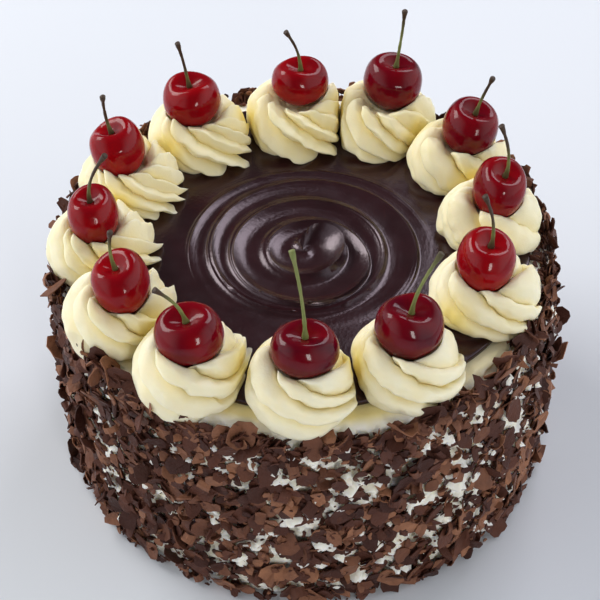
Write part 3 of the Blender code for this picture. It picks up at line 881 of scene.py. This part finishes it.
def off_front(bearing):
    """Degrees between a bearing and the front, from -180 to 180."""
    return (bearing - FRONT_BEARING + 180) % 360 - 180


def lean_in(bearing, height):
    """How far the coat leans in towards its upper edge at the right, in metres."""
    off_right = (bearing - LEAN_BEARING + 180) % 360 - 180
    return LEAN_DEPTH * np.exp(-((off_right / 42) ** 2)) * smooth_step(height, 0.060, 0.100)


def coat_top(bearing):
    """Height of the coat's upper edge: lower at the front, where a band of cream stays bare."""
    wander = np.sin(np.radians(7 * bearing)) + np.sin(np.radians(17 * bearing + 40))
    lower = np.exp(-((off_front(bearing) / 24) ** 2))
    return 0.1000 - 0.0075 * lower + 0.0009 * wander * (0.3 + lower)


def bare_patches(bearing, height):
    """0 where the coat is dense, up to 1 in the small patches where the cream shows."""
    angle = np.radians(bearing)
    places = circle(CAKE_RADIUS, height, angle) * [1, 1, 2.3]
    noise = 0.52 * waves(places, 0.026, 51) + 0.88 * waves(places, 0.0068, 52)
    front = 0.55 + 0.45 * np.cos(angle - np.radians(310))
    return smooth_step(noise, 0.68, 0.98) * front


def build_cream_body():
    """The drum of cream: flat underside, uneven side, rounded shoulder and flat top under the ganache."""
    angle = np.linspace(0, 2 * np.pi, COAT_COLUMNS, endpoint=False)
    side = np.linspace(0.0015, CAKE_TOP - SHOULDER, 110)
    turn = np.linspace(0, np.pi / 2, 14)[1:]
    inside = np.linspace(1, 0.02, 14)[1:]
    radius = [CAKE_RADIUS * 0.5, CAKE_RADIUS - 0.0015, *np.full(len(side), CAKE_RADIUS)]
    height = [0.0, 0.0, *side]
    radius += [*(CAKE_RADIUS - SHOULDER * (1 - np.cos(turn))), *((CAKE_RADIUS - SHOULDER) * inside)]
    height += [*(CAKE_TOP - SHOULDER * (1 - np.sin(turn))), *np.full(len(inside), CAKE_TOP)]
    rings = circle(np.array(radius)[:, None], np.array(height)[:, None], angle)
    dabs = waves(rings * [1, 1, 1.6], 0.012, 21) + 0.5 * waves(rings * [1, 1, 2.0], 0.005, 22)
    on_side = smooth_step(rings[..., 2], 0.001, 0.008) * smooth_step(np.hypot(rings[..., 0], rings[..., 1]), 0.090, 0.096)
    strokes = waves(rings * [1, 1, 3.0], 0.010, 23)
    below = rings[..., 2] < CAKE_TOP - SHOULDER
    bulge = np.where(below, 0.0011 * np.maximum(dabs, -0.3), 0.0004 * dabs + 0.0004 * strokes)
    bulge += 0.0026 * bare_patches(np.degrees(angle), rings[..., 2]) * below
    outward = bulge * on_side - lean_in(np.degrees(angle), rings[..., 2])
    rings[..., :2] *= 1 + (outward / CAKE_RADIUS)[..., None]
    from_axis = np.hypot(rings[..., 0], rings[..., 1])
    # Painted shade: a little yellow over the side, more in the dents between the knife's dabs, and a band of yellow
    # shade over the front of the top inside the rim, where the rosettes and the ganache's edge shade it.
    shaded = (1 - smooth_step(from_axis, 0.0915, 0.0965)) * np.exp(-((off_front(np.degrees(angle)) / 60) ** 2))
    painted_shade = np.clip(0.04 - 0.08 * dabs, 0, 0.12) * on_side + 0.75 * shaded
    piece = make_rings("cream_body", rings, spread_cream, {"painted_shade": painted_shade})
    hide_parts("cake")
    return piece


cream_body = build_cream_body()
print("cream coat:", len(cream_body.data.polygons), "triangles")

# %% [markdown]
# ## Shavings
#
# The side is covered with thousands of shavings: broken flat chips of every size, a few rolled curls,
# and crumbs. Particles would be quick to set up but aren't real geometry, so the shavings are made
# as arrays instead. One function makes the outline of many broken chips at once, another bends and
# thickens them, and a third turns each one onto the side of the cake. A chip's outline is the inside
# of a few straight cuts, since chocolate breaks along straight lines.

# %% Shaping chips
def chip_outlines(count, sides, uneven):
    """Broken outlines: a lopsided round, less what two straight cuts take off it. Each point is then
    pushed a little in or out, so that an edge is never quite straight."""
    angle = 2 * np.pi * (np.arange(sides) + uneven.uniform(-0.25, 0.25, (count, sides))) / sides
    radius = np.full((count, sides), 0.86)
    for waves_round, share in ((2, 0.16), (3, 0.12)):
        turn = uneven.uniform(0, 2 * np.pi, (count, 1))
        radius += uneven.uniform(0, share, (count, 1)) * np.cos(waves_round * angle + turn)
    for _ in range(3):
        facing = np.maximum(np.cos(angle - uneven.uniform(0, 2 * np.pi, (count, 1))), 0.2)
        radius = np.minimum(radius, uneven.uniform(0.35, 0.95, (count, 1)) / facing)
    radius *= uneven.uniform(0.90, 1.08, (count, sides))
    return np.stack([radius * np.cos(angle), radius * np.sin(angle)], -1)


def close_plate(top, edge, layer):
    """All triangles of a plate: its upper face, the same face below it, and the wall round its edge."""
    after = np.roll(edge, -1)
    wall = [np.stack([edge, edge + layer, after + layer], -1), np.stack([edge, after + layer, after], -1)]
    return np.vstack([top, top[:, ::-1] + layer, *wall])


def chip_bodies(half_sizes, sides, inner_ring, uneven, bend=0.22, slim=(0.55, 1.0)):
    """Thin bent plates: points of every chip round its own middle, and the triangles of one chip."""
    count = len(half_sizes)
    rim = chip_outlines(count, sides, uneven)
    rim[..., 1] *= uneven.uniform(*slim, count)[:, None]
    shares = (0.55, 1.0) if inner_ring else (1.0,)
    flat = np.concatenate([np.zeros((count, 1, 2))] + [share * rim for share in shares], axis=1)
    bend_way = uneven.uniform(0, np.pi, count)[:, None]
    across = flat[..., 0] * np.cos(bend_way) + flat[..., 1] * np.sin(bend_way)
    lift = uneven.normal(0, bend, count)[:, None] * across**2
    lift += uneven.normal(0, bend / 2, count)[:, None] * flat[..., 0] * flat[..., 1]
    lift += uneven.normal(0, 0.02, flat.shape[:2])
    layer = flat.shape[1]
    thinning = np.where(np.arange(layer) >= layer - sides, 0.7, 1.0)
    thick = uneven.uniform(0.00020, 0.00038, count)[:, None] * thinning
    flat = flat * half_sizes[:, None, None]
    lift = lift * half_sizes[:, None]
    upper = np.concatenate([flat, (lift + thick)[..., None]], -1)
    lower = np.concatenate([flat, (lift - thick)[..., None]], -1)

    rings = [1 + k * sides + np.arange(sides) for k in range(len(shares))]
    faces = [np.stack([np.zeros(sides, int), rings[0], np.roll(rings[0], -1)], -1)]
    for low, high in zip(rings[:-1], rings[1:]):
        faces.append(np.stack([low, high, np.roll(high, -1)], -1))
        faces.append(np.stack([low, np.roll(high, -1), np.roll(low, -1)], -1))
    return np.concatenate([upper, lower], axis=1), close_plate(np.vstack(faces), rings[-1], layer)


def curl_bodies(radii, widths, uneven, rows=10, columns=3):
    """Rolled ribbons: points of every curl round its own middle, and the triangles of one curl. Along
    a ribbon the radius grows, so the roll stays open, and the ribbon drifts sideways and narrows."""
    count = len(radii)
    along = np.linspace(0, 1, rows)[None, :, None]
    across = np.linspace(-0.5, 0.5, columns)[None, None, :]
    sweep = np.radians(uneven.uniform(120, 420, count))[:, None, None]
    radius = radii[:, None, None] * (1 + uneven.uniform(0.1, 0.7, count)[:, None, None] * along)
    width = widths[:, None, None] * (1 - uneven.uniform(0.1, 0.8, count)[:, None, None] * along**2)
    width = width * uneven.uniform(0.85, 1.1, (count, rows, 1))
    drift = widths[:, None, None] * uneven.uniform(-0.8, 0.8, count)[:, None, None] * along
    layers = []
    for thick in (0.00016, -0.00016):
        size = radius + thick + 0 * across
        turned = along * sweep + 0 * across
        layers.append(np.stack([size * np.cos(turned), across * width + drift, size * np.sin(turned)], -1))
    bodies = np.concatenate([layer.reshape(count, -1, 3) for layer in layers], axis=1)
    bodies -= bodies.mean(1, keepdims=True)
    corner = np.arange(rows * columns).reshape(rows, columns)
    a, b = corner[:-1, :-1].ravel(), corner[:-1, 1:].ravel()
    c, d = corner[1:, 1:].ravel(), corner[1:, :-1].ravel()
    top = np.vstack([np.stack([a, b, c], -1), np.stack([a, c, d], -1)])
    edge = np.concatenate([corner[0, :-1], corner[:-1, -1], corner[-1, :0:-1], corner[:0:-1, 0]])
    return bodies, close_plate(top, edge, rows * columns)


# %% Placing chips on the side
def side_axes(bearing, spin, tilt, tilt_way):
    """For each chip, its three axes as a matrix: facing out from the cake, spun, then tilted. A tilt
    way of 0 turns its face up."""
    angle = np.radians(bearing)
    zero, one = np.zeros_like(angle), np.ones_like(angle)
    out = np.stack([np.cos(angle), np.sin(angle), zero], -1)
    round_the_cake = np.stack([-np.sin(angle), np.cos(angle), zero], -1)
    up = np.stack([zero, zero, one], -1)
    hinge = np.cos(tilt_way)[:, None] * round_the_cake + np.sin(tilt_way)[:, None] * up
    lever = np.cross(out, hinge)
    normal = np.cos(tilt)[:, None] * out + np.sin(tilt)[:, None] * lever
    leaning = np.cross(normal, hinge)
    first = np.cos(spin)[:, None] * hinge + np.sin(spin)[:, None] * leaning
    return np.stack([first, np.cross(normal, first), normal], 1)


def scatter(name, bodies, faces, places, turns, uneven, tones=(0.0, 1.0)):
    """Turns and moves each chip, as one mesh. `places` holds the bearings, heights and distances from
    the axis, and `turns` the tilts and the ways they tilt."""
    count = len(bodies)
    bearing, height, depth = places
    depth = depth - lean_in(bearing, height)
    placed = np.einsum("nij,njk->nik", bodies, side_axes(bearing, uneven.uniform(0, 2 * np.pi, count), *turns))
    placed += circle(depth, height, np.radians(bearing))[:, None]
    placed[..., 2] += np.maximum(0.0001 - placed[..., 2].min(1), 0)[:, None]
    reach = np.hypot(placed[..., 0], placed[..., 1]).max(1)
    excess = np.maximum(reach - (COAT_REACH + 0.0015), 0)
    placed[..., :2] -= (excess[:, None] * circle(1.0, 0.0, np.radians(bearing))[:, :2])[:, None]
    all_faces = (faces[None] + (np.arange(count) * bodies.shape[1])[:, None, None]).reshape(-1, 3)
    tone = np.repeat(uneven.uniform(*tones, count) ** 1.2, bodies.shape[1])
    return make_piece(name, placed.reshape(-1, 3), all_faces, shavings, {"tone": tone}, 35)


def coat_places(count, uneven, half_sizes, thinned):
    """Bearings and heights spread evenly over the side, thinned out in the bare patches."""
    bearing = uneven.uniform(0, 360, 3 * count)
    height = uneven.uniform(-0.004, 1, 3 * count) * (coat_top(bearing) + 0.001)
    kept = np.flatnonzero(uneven.uniform(0, 1, 3 * count) > thinned * bare_patches(bearing, height))[:count]
    return bearing[kept], np.minimum(height[kept], coat_top(bearing[kept]) - 0.35 * half_sizes)


def build_chips(name, count, shape, sizes, seed, layer, steep, thinned, bend):
    """One kind of chip: a share of `steep` of them stand up, and the rest lie within a few degrees.
    `shape` is what chip_bodies takes, and `layer` is how far out from the cream their middles lie."""
    uneven = np.random.default_rng(seed)
    half_sizes = uneven.uniform(0, 1, count) ** 1.5 * (sizes[1] - sizes[0]) + sizes[0]
    bodies, faces = chip_bodies(half_sizes, *shape, uneven, bend)
    bearing, height = coat_places(count, uneven, half_sizes, thinned)
    tilt = np.abs(uneven.normal(0, np.radians(18), count))
    standing = uneven.uniform(0, 1, count) < steep
    tilt = np.where(standing, np.radians(uneven.uniform(35, 80, count)), tilt)
    depth = CAKE_RADIUS + uneven.uniform(*layer, count) + 0.3 * half_sizes * np.sin(tilt)
    turns = (tilt, uneven.uniform(0, 2 * np.pi, count))
    return scatter(name, bodies, faces, (bearing, height, depth), turns, uneven)


large_chips = build_chips(
    "shavings_large", 1900, (12, True), (0.0036, 0.0076), 61, (0.0012, 0.0040), 0.07, 1.0, 0.30
)
medium_chips = build_chips(
    "shavings_medium", 5200, (9, False), (0.0022, 0.0042), 62, (0.0003, 0.0036), 0.10, 1.0, 0.24
)
small_chips = build_chips(
    "shavings_small", 3600, (5, False), (0.0008, 0.0018), 63, (0.0004, 0.0036), 0.3, 0.9, 0.2
)
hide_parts("shavings_coat")


def build_rim():
    """Chips that lie on the rounded shoulder everywhere but at the front, facing up and out."""
    uneven = np.random.default_rng(64)
    count = 640
    half_sizes = uneven.uniform(0.0012, 0.0034, count)
    bodies, faces = chip_bodies(half_sizes, 9, False, uneven, 0.3)
    all_round, right, left = (uneven.uniform(*span) for span in ((58, 302, 240), (56, 150, 280), (230, 305, 120)))
    bearing = FRONT_BEARING + np.concatenate([all_round, right, left])
    lean = uneven.uniform(10, 78, count)
    lift = uneven.uniform(0.0, 0.0010, count)
    depth = CAKE_RADIUS - SHOULDER + (SHOULDER + lift) * np.cos(np.radians(lean))
    height = CAKE_TOP - SHOULDER + (SHOULDER + lift) * np.sin(np.radians(lean))
    turns = (np.radians(lean + uneven.normal(0, 22, count)), uneven.normal(0, 0.5, count))
    return scatter("shavings_rim", bodies, faces, (bearing, height, depth), turns, uneven)


def build_flakes():
    """Large flakes that stand out of the coat's upper edge, most of them at the front."""
    uneven = np.random.default_rng(65)
    count = 150
    half_sizes = uneven.uniform(0.0030, 0.0076, count)
    bodies, faces = chip_bodies(half_sizes, 12, True, uneven, 0.45)
    bearing = FRONT_BEARING + np.concatenate([uneven.uniform(-65, 65, 100), uneven.uniform(0, 360, count - 100)])
    height = coat_top(bearing) - uneven.uniform(-0.0010, 0.0050, count)
    tilt = np.radians(uneven.uniform(15, 70, count))
    depth = CAKE_RADIUS + uneven.uniform(0.0010, 0.0032, count)
    turns = (tilt, uneven.uniform(0, 2 * np.pi, count))
    return scatter("shavings_flakes", bodies, faces, (bearing, height, depth), turns, uneven, (0.2, 1.0))


def build_curls():
    """Rolled ribbons all over the coat, their axes lying any way."""
    uneven = np.random.default_rng(66)
    count = 420
    bodies, faces = curl_bodies(uneven.uniform(0.0012, 0.0032, count), uneven.uniform(0.0022, 0.0058, count), uneven)
    bearing, height = coat_places(count, uneven, np.full(count, 0.002), 0.6)
    depth = CAKE_RADIUS + uneven.uniform(0.0018, 0.0038, count)
    turns = (np.radians(uneven.uniform(0, 90, count)), uneven.uniform(0, 2 * np.pi, count))
    return scatter("shavings_curls", bodies, faces, (bearing, height, depth), turns, uneven, (0.3, 1.0))


for piece in (large_chips, medium_chips, small_chips, build_rim(), build_flakes(), build_curls()):
    print(piece.name, len(piece.data.polygons), "triangles")

# %% [markdown]
# ## Floor and light
#
# The cake stands on a plain pale floor. A tall window a little behind its left side lights it, and a
# pale room fills the shadows. A large area light stands in for the window: its size sets how soft
# the shadows are and how large the bright spots on the cherries look.

# %% Floor and light
def build_floor():
    """A plain pale floor, level with the cake's underside."""
    mesh = bpy.data.meshes.new("floor")
    half = 4.0
    mesh.from_pydata([(-half, -half, 0), (half, -half, 0), (half, half, 0), (-half, half, 0)], [], [(0, 1, 2, 3)])
    material, _, shader = new_material("floor_pale", Base_Color=(0.71, 0.74, 0.79, 1.0), Roughness=0.6)
    mesh.materials.append(material)
    floor = bpy.data.objects.new("floor", mesh)
    bpy.context.scene.collection.objects.link(floor)


def add_window(name, towards, distance, size, power, colour):
    """A rectangular light at a distance from the cake in the given direction, facing the cake."""
    from mathutils import Vector

    light = bpy.data.lights.new(name, "AREA")
    light.shape = "RECTANGLE"
    light.size, light.size_y = size
    light.energy = power
    light.color = colour
    window = bpy.data.objects.new(name, light)
    direction = Vector(towards).normalized()
    window.location = direction * distance + Vector((0, 0, 0.08))
    window.rotation_euler = direction.to_track_quat("Z", "Y").to_euler()
    bpy.context.scene.collection.objects.link(window)


def build_room():
    """The room's own light: dark from the far side over the top to the near side, bright left and right."""
    world = bpy.data.worlds.new("room")
    world.use_nodes = True
    tree = world.node_tree
    direction = add_node(tree, "ShaderNodeTexCoord").outputs["Generated"]
    across = add_node(tree, "ShaderNodeSeparateXYZ", {0: direction}).outputs["X"]
    sideways = add_node(tree, "ShaderNodeMath", {0: across}, operation="ABSOLUTE").outputs[0]
    range_inputs = {"Value": sideways, "From Min": 0.24, "From Max": 0.90, "To Min": 0.10, "To Max": 1.50}
    strength = add_node(tree, "ShaderNodeMapRange", range_inputs, interpolation_type="SMOOTHSTEP")
    background = tree.nodes["Background"]
    background.inputs["Color"].default_value = (0.93, 0.96, 1.0, 1.0)
    tree.links.new(strength.outputs["Result"], background.inputs["Strength"])
    bpy.context.scene.world = world


build_floor()
build_room()
add_window("window", (-0.68, 0.42, 0.64), 1.6, (1.05, 0.60), 15.5, (1.0, 0.98, 0.95))
add_window("far_window", (0.36, 0.64, 0.70), 1.8, (0.8, 0.8), 11.0, (0.95, 0.93, 1.0))
add_window("far_lamp", (0.29, -0.90, 0.36), 1.7, (0.30, 0.36), 5.5, (1.0, 0.97, 0.93))
bpy.context.scene.view_settings.view_transform = "Standard"
